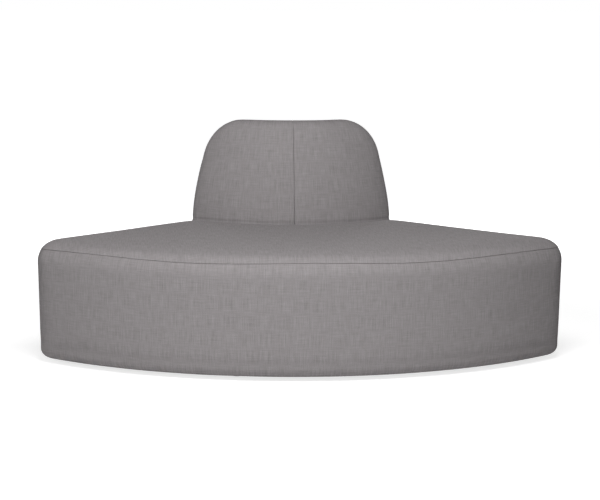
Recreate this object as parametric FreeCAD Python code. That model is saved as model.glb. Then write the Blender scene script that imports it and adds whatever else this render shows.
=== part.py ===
import FreeCAD, Part
import math
import os

from FreeCAD import Vector

# Curved sofa: a quarter-round upholstered seat with a back at its narrow rear end.
# Millimetres. The front faces -Y, +X is to the right, and the floor is at z = 0.
# The curves share one upright axis, which stands behind the sofa.

# Overall form
WEDGE_ANGLE = 90.0
OUTER_RADIUS = 1345.0
BACK_FOOT_RADIUS = 540.0
REAR_RADIUS = 340.0
END_OFFSET = 30.0
SEAT_HEIGHT = 432.0
OVERALL_HEIGHT = 806.0
GROUND_GAP = 12.0
SEAT_TAPER = 7.5
BACK_TOP_DEPTH = 86.0
BACK_CURVE_ANGLE = 14.0

# Rounding of the upholstered edges
SEAT_TOP_ROUND = 76.0
FRONT_CORNER_EXTRA = 14.0
SEAT_FOOT_ROUND = 42.0
BACK_EDGE_EXTRA = 3.0
BACK_TOP_CORNER_ROUND = 140.0
LEAST_CORNER_ROUND = 20.0

# Cover and padding
COVER = 1.5
FIT = 0.3
RIB_FIT = 0.6
SEAM_DROP = 29.0
BACK_SEAM_DROP = 24.0
FRONT_SEAM_WRAP = 60.0
REAR_SEAM_WRAP = 48.0
HEM_WIDTH = 90.0
DUST_COVER = 0.8
DUST_COVER_INSET = 65.0
FRONT_PADDING = 30.0
REAR_PADDING = 16.5
BACK_PADDING = 39.5
BACK_TOP_PADDING = 70.0
SEAT_PADDING = 132.0
TOPPER_THICKNESS = 50.0

# Frame
PLY = 18.0
DECK_PLY = 15.0
BENT_PLY = 5.0
PANEL_LIFT = 12.0
BAYS = 4
DECK_WINDOW_ROWS = 3
DECK_WINDOW_LENGTH = 165.0
DECK_WEB_ANGLE = 8.5
BASE_HOLE_RADIUS = 70.0
BASE_HOLE_FROM_BACK = 220.0
BASE_HOLE_FROM_FRONT = 285.0
GLUE_BLOCK = 30.0
GLUE_BLOCK_LENGTH = 70.0
GLUE_BLOCK_FROM_BACK = 80.0
GLUE_BLOCK_FROM_FRONT = 345.0

# Webbing
STRAP_WIDTH = 50.0
STRAP_THICKNESS = 1.5
STRAP_ANGLE = 3.6
STRAP_END_MARGIN = 18.0

# Fasteners
SCREW_CLEARANCE = 0.1
DECK_SCREW_RADIUS = 2.0
DECK_SCREW_HEAD_RADIUS = 4.0
DECK_SCREW_HEAD = 3.0
DECK_SCREW_LENGTH = 45.0
DECK_SCREW_FROM_BACK = 60.0
DECK_SCREW_FROM_FRONT = 165.0
RAIL_SCREW_SEAT = 20.0
INSERT_OUTER_RADIUS = 6.0
INSERT_THREAD_RADIUS = 3.4
INSERT_LENGTH = 13.0
INSERT_FROM_BACK = 100.0
INSERT_FROM_FRONT = 225.0
INSERT_FROM_END = 100.0

# Glides
GLIDE_RADIUS = 22.0
GLIDE_FOOT_ROUND = 2.0
GLIDE_SCREW_RADIUS = 2.2
GLIDE_SCREW_HEAD_RADIUS = 4.5
GLIDE_SCREW_HEAD = 3.0
GLIDE_SCREW_HEAD_LIFT = 2.0
GLIDE_SCREW_BITE = 14.0
GLIDE_FROM_FRONT = 120.0
GLIDE_FROM_REAR = 100.0

# Worked out from the sizes above
HALF_ANGLE = WEDGE_ANGLE / 2
REACH = 3 * OUTER_RADIUS
SPUN_MARGIN = 25.0
SPUN_HALF = HALF_ANGLE + SPUN_MARGIN
SAME_HEIGHT = 0.2
SKIN = COVER + FIT
SEAM_HEIGHT = SEAT_HEIGHT - SEAM_DROP
FRONT_CORNER_ROUND = SEAT_TOP_ROUND + FRONT_CORNER_EXTRA
BACK_EDGE_ROUND = SEAT_FOOT_ROUND + BACK_EDGE_EXTRA
BACK_SEAM_HEIGHT = SEAT_HEIGHT - SEAT_TOP_ROUND - BACK_SEAM_DROP
OVERRUN = BACK_SEAM_DROP / 2
BASE_BOTTOM = GROUND_GAP + SKIN
BASE_TOP = BASE_BOTTOM + PLY
DECK_TOP = SEAT_HEIGHT - SEAT_PADDING
DECK_BOTTOM = DECK_TOP - DECK_PLY
WEBBING_TOP = DECK_TOP + 2 * STRAP_THICKNESS
TOPPER_BOTTOM = SEAT_HEIGHT - SKIN - TOPPER_THICKNESS
DUST_COVER_TOP = GROUND_GAP - FIT
GLIDE_TOP = DUST_COVER_TOP - DUST_COVER
PANEL_INSET = FRONT_PADDING + BENT_PLY
PANEL_BOTTOM = GROUND_GAP + PANEL_LIFT
BACK_FRAME_TOP = OVERALL_HEIGHT - BACK_TOP_PADDING
RAIL_BOTTOM = BACK_FRAME_TOP - PLY
REAR_BOARD_RADIUS = REAR_RADIUS + REAR_PADDING + FIT
RIB_REAR_RADIUS = REAR_BOARD_RADIUS + BENT_PLY
RIB_FRONT_RADIUS = OUTER_RADIUS - PANEL_INSET
BOARD_INSET = BACK_PADDING + FIT
RIB_BACK_INSET = BOARD_INSET + BENT_PLY
BAY_ANGLE = WEDGE_ANGLE / BAYS
BAY_ANGLES = [(bay + 0.5) * BAY_ANGLE - HALF_ANGLE for bay in range(BAYS)]
RIB_ANGLES = [rib * BAY_ANGLE - HALF_ANGLE for rib in range(1, BAYS)]
DECK_WINDOW_ANGLE = BAY_ANGLE - DECK_WEB_ANGLE
END_RIB_FACE = END_OFFSET - FRONT_PADDING
GLIDE_FRONT_RADIUS = OUTER_RADIUS - GLIDE_FROM_FRONT
GLIDE_REAR_RADIUS = REAR_RADIUS + GLIDE_FROM_REAR
BASE_HOLE_ROWS = (BACK_FOOT_RADIUS + BASE_HOLE_FROM_BACK, OUTER_RADIUS - BASE_HOLE_FROM_FRONT)
GLUE_BLOCK_ROWS = (BACK_FOOT_RADIUS + GLUE_BLOCK_FROM_BACK, OUTER_RADIUS - GLUE_BLOCK_FROM_FRONT)
INSERT_ROWS = (BACK_FOOT_RADIUS + INSERT_FROM_BACK, OUTER_RADIUS - INSERT_FROM_FRONT)
FIRST_SCREW_ROW = BACK_FOOT_RADIUS + DECK_SCREW_FROM_BACK
LAST_SCREW_ROW = OUTER_RADIUS - DECK_SCREW_FROM_FRONT
DECK_SCREW_ROWS = (FIRST_SCREW_ROW, (FIRST_SCREW_ROW + LAST_SCREW_ROW) / 2, LAST_SCREW_ROW)


def along_end(radius, offset):
    """Distance along an end from the axis to where a circle meets a line beside that end."""
    return math.sqrt(radius ** 2 - offset ** 2)


def end_reach(radius, offset):
    """How far in front of the axis such a meeting point lies."""
    half = math.radians(HALF_ANGLE)
    return along_end(radius, offset) * math.cos(half) - offset * math.sin(half)


# The origin is the middle of the overall box, so the axis is placed from the box's front and rear.
REAR_REACH = end_reach(REAR_RADIUS + BACK_EDGE_ROUND, END_OFFSET - BACK_EDGE_ROUND) - BACK_EDGE_ROUND
TAPER_TURN = math.atan(SEAT_TAPER / (SEAT_HEIGHT - GROUND_GAP))
WIDEST_RADIUS = OUTER_RADIUS - SEAT_TOP_ROUND * ((1 + math.sin(TAPER_TURN)) / math.cos(TAPER_TURN) - 1)
AXIS_Y = (WIDEST_RADIUS + REAR_REACH) / 2
CORNER_START = along_end(OUTER_RADIUS - FRONT_CORNER_ROUND, END_OFFSET - FRONT_CORNER_ROUND)


def in_plan(radius, angle, height):
    """Point at a radius and an angle from straight ahead, positive to the right."""
    turn = math.radians(angle)
    return Vector(radius * math.sin(turn), AXIS_Y - radius * math.cos(turn), height)


def beside_end(side, distance, offset, height):
    """Point at a distance along the left (-1) or right (1) end, and an offset out of its radial plane."""
    half = math.radians(HALF_ANGLE)
    x = distance * math.sin(half) + offset * math.cos(half)
    y = AXIS_Y - distance * math.cos(half) + offset * math.sin(half)
    return Vector(side * x, y, height)


def spun(face, from_angle, to_angle):
    """Solid made by turning an upright face, drawn in radius and height, about the axis."""
    body = face.revolve(Vector(), Vector(0, 0, 1), to_angle - from_angle)
    body.rotate(Vector(), Vector(0, 0, 1), from_angle - 90)
    body.translate(Vector(0, AXIS_Y, 0))
    return body


def outline_face(points):
    """Upright face from corner points given as (radius, height)."""
    corners = [Vector(radius, 0, height) for radius, height in points]
    return Part.Face(Part.makePolygon(corners + corners[:1]))


def ring(inner, outer, bottom, top, half_span=None):
    """Sector of a plain ring, by default wider than the sofa."""
    span = SPUN_HALF if half_span is None else half_span
    points = [(inner, bottom), (outer, bottom), (outer, top), (inner, top)]
    return spun(outline_face(points), -span, span)


def wedge(bottom, top, inset, foot_inset=None):
    """Space between the two ends, drawn in from them by an inset that may differ at the foot."""
    half = math.radians(HALF_ANGLE)
    wires = []
    for height, amount in ((bottom, inset if foot_inset is None else foot_inset), (top, inset)):
        apex = Vector(0, AXIS_Y + (END_OFFSET - amount) / math.sin(half), height)
        side = Vector(REACH * math.sin(half), -REACH * math.cos(half), 0)
        mirrored = Vector(-side.x, side.y, 0)
        wires.append(Part.makePolygon([apex, apex + side, apex + mirrored, apex]))
    return Part.makeLoft(wires, True, True)


def radius_of(point):
    """Distance of a point from the upright axis."""
    return math.hypot(point.x, point.y - AXIS_Y)


def upright_edges(body, height, inner, outer):
    """Edges that rise by more than half of a height, with their middle within a band of radii."""
    found = []
    for edge in body.Edges:
        rise = abs(edge.Vertexes[-1].Z - edge.Vertexes[0].Z)
        mid = edge.valueAt((edge.FirstParameter + edge.LastParameter) / 2)
        if rise > height / 2 and inner < radius_of(mid) < outer:
            found.append(edge)
    return found


def level_edges(body, height, inner, outer):
    """Edges that lie at one height, with their middle within a band of radii."""
    found = []
    for edge in body.Edges:
        box = edge.BoundBox
        mid = edge.valueAt((edge.FirstParameter + edge.LastParameter) / 2)
        flat = abs(box.ZMin - height) < SAME_HEIGHT and abs(box.ZMax - height) < SAME_HEIGHT
        if flat and inner < radius_of(mid) < outer:
            found.append(edge)
    return found


# Front face of the back: an arc in radius and height that leans further back as it rises,
# from the back's foot at the seat to its top.
BACK_RISE = OVERALL_HEIGHT - SEAT_HEIGHT
BACK_SETBACK = BACK_FOOT_RADIUS - REAR_RADIUS - BACK_TOP_DEPTH
HALF_CURVE = math.radians(BACK_CURVE_ANGLE / 2)
BACK_ARC = math.hypot(BACK_RISE, BACK_SETBACK) / (2 * math.sin(HALF_CURVE))
LEAN_AT_SEAT = math.atan2(BACK_SETBACK, BACK_RISE) - HALF_CURVE
BACK_ARC_RADIUS_AT = BACK_FOOT_RADIUS - BACK_ARC * math.cos(LEAN_AT_SEAT)
BACK_ARC_HEIGHT_AT = SEAT_HEIGHT - BACK_ARC * math.sin(LEAN_AT_SEAT)


def back_front_radius(height, inset=0.0):
    """Radius of the back's front face, or of a face inside it, at a height."""
    rise = height - BACK_ARC_HEIGHT_AT
    return BACK_ARC_RADIUS_AT + math.sqrt((BACK_ARC - inset) ** 2 - rise ** 2)


def leaning_edge(bottom, top, inset):
    """The back's front arc as an edge, drawn upwards."""
    heights = (bottom, (bottom + top) / 2, top)
    points = [Vector(back_front_radius(z, inset), 0, z) for z in heights]
    return Part.Arc(*points).toShape()


def leaning_ring(rear, bottom, top, inset):
    """Sector of a ring between an upright rear face and a face parallel to the back's front."""
    front = leaning_edge(bottom, top, inset)
    start, end = front.Vertexes[0].Point, front.Vertexes[1].Point
    low, high = Vector(rear, 0, bottom), Vector(rear, 0, top)
    edges = [
        Part.LineSegment(low, start).toShape(),
        front,
        Part.LineSegment(end, high).toShape(),
        Part.LineSegment(high, low).toShape(),
    ]
    return spun(Part.Face(Part.Wire(edges)), -SPUN_HALF, SPUN_HALF)


def seat_block(inset, overrun=0.0):
    """Upholstered seat body with all its rounding, drawn in from the cover's outside by an inset.

    An overrun carries the body past the faces that the back hides, so that a cut leaves them open.
    """
    foot, top = GROUND_GAP + inset, SEAT_HEIGHT - inset
    outer = OUTER_RADIUS - inset
    rear = REAR_RADIUS + inset
    points = [(rear, foot), (outer - SEAT_TAPER, foot), (outer, top), (rear, top)]
    body = spun(outline_face(points), -SPUN_HALF, SPUN_HALF)
    body = body.common(wedge(foot, top, inset, inset + SEAT_TAPER))
    middle = (OUTER_RADIUS + REAR_RADIUS) / 2
    rise = BACK_SEAM_HEIGHT - foot
    body = body.makeFillet(FRONT_CORNER_ROUND - inset, upright_edges(body, rise, middle, REACH))
    body = body.makeFillet(SEAT_TOP_ROUND - inset, level_edges(body, top, BACK_FOOT_RADIUS, REACH))
    body = body.cut(back_space(overrun))
    body = body.makeFillet(BACK_EDGE_ROUND - inset, upright_edges(body, rise, 0, BACK_FOOT_RADIUS))
    return body.makeFillet(SEAT_FOOT_ROUND - inset, level_edges(body, foot, 0, REACH))


def back_space(overrun):
    """Room that the seat leaves for the back: the back's own rounded form and what lies behind it."""
    foot, top = BACK_SEAM_HEIGHT + overrun, SEAT_HEIGHT + BACK_SEAM_DROP
    form = back_block(overrun - FIT, FIT)
    form = form.common(ring(REAR_RADIUS / 2, REACH, foot, top))
    behind = ring(REAR_RADIUS / 2, REAR_RADIUS + 2 * BACK_EDGE_ROUND, foot, top)
    return form.fuse(behind)


def back_block(inset, overrun=0.0):
    """Upholstered back with all its rounding, drawn in by an inset; an overrun lengthens it downwards."""
    foot, top = BACK_SEAM_HEIGHT + FIT - overrun, OVERALL_HEIGHT - inset
    body = leaning_ring(REAR_RADIUS + inset, foot, top, inset)
    body = body.common(wedge(foot, top, inset))
    ends = []
    for edge in level_edges(body, top, 0, REACH):
        straight = edge.Curve.TypeId == "Part::GeomLine"
        if straight:
            ends.append(edge)
    body = body.makeFillet(BACK_TOP_CORNER_ROUND - inset, ends)
    rim = []
    for edge in body.Edges:
        faces = body.ancestorsOfType(edge, Part.Face)
        curved = [face for face in faces if is_front_or_rear(face)]
        above = edge.BoundBox.ZMax > foot + SAME_HEIGHT
        if len(curved) == 1 and above:
            rim.append(edge)
    return body.makeFillet(BACK_EDGE_ROUND - inset, rim)


def is_front_or_rear(face):
    """True for the faces of the back that run round the axis from end to end."""
    box = face.BoundBox
    return box.XMin < -REAR_RADIUS / 4 and box.XMax > REAR_RADIUS / 4 and box.ZLength > BACK_TOP_CORNER_ROUND


def frame_block(inset, bottom, top):
    """Upright-sided block in the seat's plan, drawn in by an inset, with round front corners."""
    body = ring(REAR_RADIUS, OUTER_RADIUS - inset, bottom, top)
    body = body.common(wedge(bottom, top, inset))
    corners = upright_edges(body, top - bottom, (OUTER_RADIUS + REAR_RADIUS) / 2, REACH)
    return body.makeFillet(max(FRONT_CORNER_ROUND - inset, LEAST_CORNER_ROUND), corners)


def end_slab(side, start, stop, inner, outer, bottom, top):
    """Upright slab along one end, between two distances and two offsets."""
    plan = [(start, inner), (stop, inner), (stop, outer), (start, outer)]
    corners = [beside_end(side, distance, offset, bottom) for distance, offset in plan]
    face = Part.Face(Part.makePolygon(corners + corners[:1]))
    return face.extrude(Vector(0, 0, top - bottom))


def end_zone(side, start, stop, depth=0.0):
    """Space outside an end rib's face, or from a depth inside it, between two distances along the end."""
    outer = END_OFFSET + FRONT_CORNER_ROUND
    return end_slab(side, start, stop, END_RIB_FACE - depth, outer, 0, OVERALL_HEIGHT)


def pin(centre, radius, length):
    """Upright round bar with its lower end at a point."""
    return Part.makeCylinder(radius, length, centre)


def rib_outline(front_distance):
    """L-shaped board outline in distance and height: a seat arm with a tapered upright behind it."""
    inset = RIB_BACK_INSET + RIB_FIT
    upright_foot = Vector(back_front_radius(DECK_TOP, inset), 0, DECK_BOTTOM)
    lean = leaning_edge(DECK_TOP, RAIL_BOTTOM, inset)
    start, end = lean.Vertexes[0].Point, lean.Vertexes[1].Point
    rear_foot = Vector(RIB_REAR_RADIUS, 0, BASE_TOP)
    rear_top = Vector(RIB_REAR_RADIUS, 0, RAIL_BOTTOM)
    front_foot = Vector(front_distance, 0, BASE_TOP)
    front_top = Vector(front_distance, 0, DECK_BOTTOM)
    runs = [(end, rear_top), (rear_top, rear_foot), (rear_foot, front_foot), (front_foot, front_top)]
    runs += [(front_top, upright_foot), (upright_foot, start)]
    edges = [lean] + [Part.LineSegment(a, b).toShape() for a, b in runs]
    return Part.Face(Part.Wire(Part.__sortEdges__(edges)))


def board(outline, angle, offset):
    """Plywood board cut from an outline, standing at an angle with one face at an offset."""
    body = outline.extrude(Vector(0, PLY, 0))
    body.translate(Vector(0, offset, 0))
    body.rotate(Vector(), Vector(0, 0, 1), angle - 90)
    body.translate(Vector(0, AXIS_Y, 0))
    return body


def make_ribs():
    """Three radial ribs and the two end ribs, which share one outline but for their length."""
    radial = rib_outline(along_end(RIB_FRONT_RADIUS, PLY / 2) - FIT)
    names = ("left_rib", "centre_rib", "right_rib")
    ribs = {}
    for name, angle in zip(names, RIB_ANGLES):
        ribs[name] = board(radial, angle, -PLY / 2)
    end = rib_outline(CORNER_START - FIT)
    ribs["left_end_rib"] = board(end, -HALF_ANGLE, -END_RIB_FACE)
    ribs["right_end_rib"] = board(end, HALF_ANGLE, END_RIB_FACE - PLY)
    return ribs


def base_fastener_points():
    """Where the glides and the ganging inserts sit, in plan."""
    names = ("front_left_glide", "front_inner_left_glide", "front_inner_right_glide", "front_right_glide")
    glides = {}
    for name, angle in zip(names, BAY_ANGLES):
        glides[name] = (GLIDE_FRONT_RADIUS, angle)
    for name, angle in (("rear_left_glide", BAY_ANGLES[0]), ("rear_right_glide", BAY_ANGLES[-1])):
        glides[name] = (GLIDE_REAR_RADIUS, angle)
    inserts = []
    for side in (-1, 1):
        for row in INSERT_ROWS:
            inserts.append(beside_end(side, row, END_OFFSET - INSERT_FROM_END, BASE_BOTTOM))
    return glides, inserts


def make_base(glides, inserts):
    """Base plate with lightening holes, its foot rounded to the cover, drilled for glides and inserts."""
    plate = frame_block(PANEL_INSET, BASE_BOTTOM, BASE_TOP)
    plate = plate.cut(ring(0, RIB_REAR_RADIUS, 0, OVERALL_HEIGHT))
    plate = plate.common(seat_block(SKIN))
    drills = []
    for radius in BASE_HOLE_ROWS:
        for angle in BAY_ANGLES:
            drills.append(pin(in_plan(radius, angle, 0), BASE_HOLE_RADIUS, BASE_TOP + PLY))
    for radius, angle in glides.values():
        drills.append(pin(in_plan(radius, angle, 0), GLIDE_SCREW_RADIUS + SCREW_CLEARANCE, BASE_TOP + PLY))
    for centre in inserts:
        drills.append(pin(centre, INSERT_OUTER_RADIUS + SCREW_CLEARANCE, PLY))
    return plate.cut(drills)


def deck_window_rows():
    """Inner radii of the rows of windows, evenly shared over the deck."""
    inner = back_front_radius(DECK_TOP, BOARD_INSET)
    spare = RIB_FRONT_RADIUS - inner - DECK_WINDOW_ROWS * DECK_WINDOW_LENGTH
    web = spare / (DECK_WINDOW_ROWS + 1)
    return [inner + web + row * (DECK_WINDOW_LENGTH + web) for row in range(DECK_WINDOW_ROWS)]


def turned(body, angle):
    """Copy of a body turned about the upright axis."""
    copy = body.copy()
    copy.rotate(Vector(0, AXIS_Y, 0), Vector(0, 0, 1), angle)
    return copy


def deck_screw_points():
    """Deck screw places, on the middle of each rib."""
    points = []
    for radius in DECK_SCREW_ROWS:
        for angle in RIB_ANGLES:
            points.append(in_plan(radius, angle, DECK_TOP))
        for side in (-1, 1):
            points.append(beside_end(side, radius, END_RIB_FACE - PLY / 2, DECK_TOP))
    return points


def rail_screw_points():
    """Top rail screw places, on the middle of each upright."""
    distance = RIB_REAR_RADIUS + RAIL_SCREW_SEAT
    points = [in_plan(distance, angle, BACK_FRAME_TOP) for angle in RIB_ANGLES]
    for side in (-1, 1):
        points.append(beside_end(side, distance, END_RIB_FACE - PLY / 2, BACK_FRAME_TOP))
    return points


def wood_screw(head_top, clearance=0.0):
    """Flat-headed screw driven down from a point; a clearance makes the hole for it."""
    shank_foot = head_top - Vector(0, 0, DECK_SCREW_LENGTH + clearance)
    head_foot = head_top - Vector(0, 0, DECK_SCREW_HEAD + clearance)
    shank = pin(shank_foot, DECK_SCREW_RADIUS + clearance, DECK_SCREW_LENGTH + clearance)
    head = pin(head_foot, DECK_SCREW_HEAD_RADIUS + clearance, DECK_SCREW_HEAD + clearance)
    return shank.fuse(head).removeSplitter()


def drilled(body, points):
    """A body with the holes for wood screws at some points."""
    return body.cut([wood_screw(point, SCREW_CLEARANCE) for point in points])


def make_deck():
    """Seat deck with three rows of windows in each bay between ribs."""
    deck = frame_block(PANEL_INSET, DECK_BOTTOM, DECK_TOP)
    deck = deck.cut(ring(0, back_front_radius(DECK_TOP, BOARD_INSET) + FIT, 0, OVERALL_HEIGHT))
    windows = []
    for inner in deck_window_rows():
        hole = ring(inner, inner + DECK_WINDOW_LENGTH, 0, OVERALL_HEIGHT, DECK_WINDOW_ANGLE / 2)
        windows += [turned(hole, angle) for angle in BAY_ANGLES]
    return deck.cut(windows)


def make_front_panel():
    """Bent plywood front that carries on round both front corners."""
    panel = frame_block(FRONT_PADDING, PANEL_BOTTOM, DECK_TOP)
    panel = panel.cut(frame_block(PANEL_INSET, 0, OVERALL_HEIGHT))
    return panel.cut([end_zone(side, 0, CORNER_START, BENT_PLY) for side in (-1, 1)])


def between_end_ribs(body, margin=0.0):
    """Part of a body that lies between the outer faces of the end ribs."""
    return body.common(wedge(0, OVERALL_HEIGHT, FRONT_PADDING + margin))


def make_back_boards():
    """Bent plywood skins of the back, and the rail on top of the uprights."""
    front = leaning_ring(REAR_RADIUS, WEBBING_TOP, BACK_FRAME_TOP, BOARD_INSET)
    front = front.cut(leaning_ring(REAR_RADIUS / 2, DECK_BOTTOM, OVERALL_HEIGHT, RIB_BACK_INSET))
    rear = ring(REAR_BOARD_RADIUS, RIB_REAR_RADIUS, BASE_TOP, RAIL_BOTTOM)
    rail = leaning_ring(RIB_REAR_RADIUS, RAIL_BOTTOM, BACK_FRAME_TOP, RIB_BACK_INSET)
    parts = {"back_front_board": front, "back_rear_board": rear, "back_top_rail": rail}
    return {name: between_end_ribs(body) for name, body in parts.items()}


def make_glue_blocks():
    """Square blocks along the foot of every rib, on the base plate."""
    blocks = []
    for row in GLUE_BLOCK_ROWS:
        stop = row + GLUE_BLOCK_LENGTH
        for side in (-1, 1):
            inner = END_RIB_FACE - PLY
            top = BASE_TOP + GLUE_BLOCK
            blocks.append(end_slab(side, row, stop, inner - GLUE_BLOCK, inner, BASE_TOP, top))
        for angle in RIB_ANGLES:
            for start in (-PLY / 2 - GLUE_BLOCK, PLY / 2):
                block = Part.makeBox(GLUE_BLOCK_LENGTH, GLUE_BLOCK, GLUE_BLOCK, Vector(row, start, BASE_TOP))
                block.rotate(Vector(), Vector(0, 0, 1), angle - 90)
                block.translate(Vector(0, AXIS_Y, 0))
                blocks.append(block)
    return Part.makeCompound(blocks)


def make_webbing():
    """Straps over the deck: radial ones below, concentric ones laid across them."""
    rear = back_front_radius(DECK_TOP, BOARD_INSET) + STRAP_END_MARGIN
    front = RIB_FRONT_RADIUS - STRAP_END_MARGIN
    lower_top = DECK_TOP + STRAP_THICKNESS
    strap = Part.makeBox(front - rear, STRAP_WIDTH, STRAP_THICKNESS, Vector(rear, -STRAP_WIDTH / 2, DECK_TOP))
    strap.rotate(Vector(), Vector(0, 0, 1), -90)
    strap.translate(Vector(0, AXIS_Y, 0))
    radial = []
    for bay in BAY_ANGLES:
        radial += [turned(strap, bay + lean) for lean in (-STRAP_ANGLE, STRAP_ANGLE)]
    cross = []
    for inner in deck_window_rows():
        start = inner + (DECK_WINDOW_LENGTH - STRAP_WIDTH) / 2
        band = ring(start, start + STRAP_WIDTH, lower_top, WEBBING_TOP)
        cross.append(between_end_ribs(band, STRAP_END_MARGIN))
    return Part.makeCompound(radial), Part.makeCompound(cross)


def make_foam(seat, back):
    """All the foam, cut from the padded bodies just inside the cover."""
    board_front = back_front_radius(DECK_TOP, BOARD_INSET) + FIT
    frame = frame_block(FRONT_PADDING - FIT, 0, OVERALL_HEIGHT)
    upper = ring(board_front, REACH, WEBBING_TOP, OVERALL_HEIGHT)
    lower = seat.cut(ring(board_front, REACH, DECK_TOP, OVERALL_HEIGHT))
    topper_zone = ring(0, REACH, TOPPER_BOTTOM, OVERALL_HEIGHT)
    parts = {}
    parts["seat_foam_topper"] = seat.common(topper_zone)
    parts["seat_foam_core"] = seat.common(upper).cut(topper_zone)
    front = lower.cut(frame)
    for side, name in ((-1, "left_end_foam"), (1, "right_end_foam")):
        parts[name] = lower.common(end_zone(side, 0, CORNER_START - FIT))
        front = front.cut(end_zone(side, 0, CORNER_START))
    parts["front_foam"] = front
    rear_layer = between_end_ribs(ring(0, REAR_RADIUS + REAR_PADDING, 0, BACK_FRAME_TOP), FIT)
    parts["seat_rear_foam"] = lower.common(rear_layer)
    parts["back_rear_foam"] = back.common(rear_layer)
    back_frame = leaning_ring(REAR_RADIUS / 2, BASE_TOP, BACK_FRAME_TOP + FIT, BACK_PADDING)
    parts["back_front_foam"] = back.cut(between_end_ribs(back_frame, -FIT))
    return parts


def make_seat_covers():
    """The seat's cover: a top, a front that wraps both corners, two ends and a rear, with hems below."""
    shell = seat_block(0).cut(seat_block(COVER, OVERRUN))
    hem = frame_block(HEM_WIDTH, 0, BASE_TOP).cut(ring(0, REAR_RADIUS + HEM_WIDTH, 0, OVERALL_HEIGHT))
    shell = shell.cut(hem)
    above = ring(0, REACH, SEAM_HEIGHT, OVERALL_HEIGHT)
    sides = shell.cut(above)
    rear_hem = ring(0, REAR_RADIUS + HEM_WIDTH, 0, BASE_TOP).common(wedge(0, BASE_TOP, HEM_WIDTH))
    rear_zone = ring(0, REAR_RADIUS + REAR_SEAM_WRAP, 0, OVERALL_HEIGHT).fuse(rear_hem)
    front_start = CORNER_START - FRONT_SEAM_WRAP
    covers = {"seat_top_cover": shell.common(above), "seat_rear_cover": sides.common(rear_zone)}
    front = sides.cut(rear_zone)
    for side, name in ((-1, "seat_left_end_cover"), (1, "seat_right_end_cover")):
        zone = end_zone(side, 0, front_start, HEM_WIDTH - FRONT_PADDING)
        covers[name] = front.common(zone)
        front = front.cut(zone)
    covers["seat_front_cover"] = front
    return covers


def make_back_covers():
    """The back's cover: two front halves that meet at the middle seam and run over the top, and a rear."""
    shell = back_block(0).cut(back_block(COVER, OVERRUN))
    rear_zone = ring(0, REAR_RADIUS + REAR_SEAM_WRAP, 0, 2 * OVERALL_HEIGHT)
    front = shell.cut(rear_zone)
    right_half = Part.makeBox(REACH, 2 * REACH, 2 * OVERALL_HEIGHT, Vector(0, -REACH, 0))
    return {
        "back_rear_cover": shell.common(rear_zone),
        "back_front_left_cover": front.cut(right_half),
        "back_front_right_cover": front.common(right_half),
    }


def make_dust_cover(glides, inserts):
    """Thin cloth under the base, with holes for the glide screws and the inserts."""
    cloth = frame_block(DUST_COVER_INSET, GLIDE_TOP, DUST_COVER_TOP)
    cloth = cloth.cut(ring(0, REAR_RADIUS + DUST_COVER_INSET, 0, OVERALL_HEIGHT))
    holes = []
    for radius, angle in glides.values():
        holes.append(pin(in_plan(radius, angle, 0), GLIDE_SCREW_RADIUS + SCREW_CLEARANCE, BASE_TOP))
    for centre in inserts:
        holes.append(pin(Vector(centre.x, centre.y, 0), INSERT_OUTER_RADIUS, BASE_TOP))
    return cloth.cut(holes)


def glide_screw(foot, clearance=0.0):
    """Screw that holds a glide up to the base; a clearance makes the hole for it in the glide."""
    shank_length = BASE_BOTTOM + GLIDE_SCREW_BITE - GLIDE_SCREW_HEAD_LIFT
    start = foot + Vector(0, 0, GLIDE_SCREW_HEAD_LIFT)
    shank = pin(start, GLIDE_SCREW_RADIUS + clearance, shank_length)
    head = pin(start, GLIDE_SCREW_HEAD_RADIUS + clearance, GLIDE_SCREW_HEAD)
    return shank.fuse(head).removeSplitter()


def make_glides(places):
    """Round glides with a rounded foot, and the screws up their middle."""
    glides, screws = {}, []
    for name, (radius, angle) in places.items():
        foot = in_plan(radius, angle, 0)
        pad = pin(foot, GLIDE_RADIUS, GLIDE_TOP)
        pad = pad.makeFillet(GLIDE_FOOT_ROUND, level_edges(pad, 0, 0, REACH))
        recess = pin(foot, GLIDE_SCREW_HEAD_RADIUS + SCREW_CLEARANCE, GLIDE_SCREW_HEAD_LIFT)
        glides[name] = pad.cut([glide_screw(foot, SCREW_CLEARANCE), recess])
        screws.append(glide_screw(foot))
    glides["glide_screws"] = Part.makeCompound(screws)
    return glides


def make_inserts(centres):
    """Threaded inserts in the base's underside, where units are joined by plates."""
    inserts = []
    for centre in centres:
        body = pin(centre, INSERT_OUTER_RADIUS, INSERT_LENGTH)
        inserts.append(body.cut(pin(centre, INSERT_THREAD_RADIUS, INSERT_LENGTH)))
    return Part.makeCompound(inserts)


def make_sofa():
    """Every piece of the sofa by name."""
    glides, inserts = base_fastener_points()
    seat, back = seat_block(SKIN), back_block(SKIN)
    deck_screws, rail_screws = deck_screw_points(), rail_screw_points()
    parts = {}
    parts["base_plate"] = make_base(glides, inserts)
    for name, rib in make_ribs().items():
        parts[name] = drilled(rib, deck_screws + rail_screws)
    parts["seat_deck"] = drilled(make_deck(), deck_screws)
    parts["front_panel"] = make_front_panel()
    parts.update(make_back_boards())
    parts["back_top_rail"] = drilled(parts["back_top_rail"], rail_screws)
    parts["glue_blocks"] = make_glue_blocks()
    parts["deck_screws"] = Part.makeCompound([wood_screw(point) for point in deck_screws])
    parts["rail_screws"] = Part.makeCompound([wood_screw(point) for point in rail_screws])
    parts["webbing_radial"], parts["webbing_cross"] = make_webbing()
    parts["ganging_inserts"] = make_inserts(inserts)
    parts.update(make_foam(seat, back))
    parts.update(make_seat_covers())
    parts.update(make_back_covers())
    parts["dust_cover"] = make_dust_cover(glides, inserts)
    parts.update(make_glides(glides))
    return parts


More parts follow.
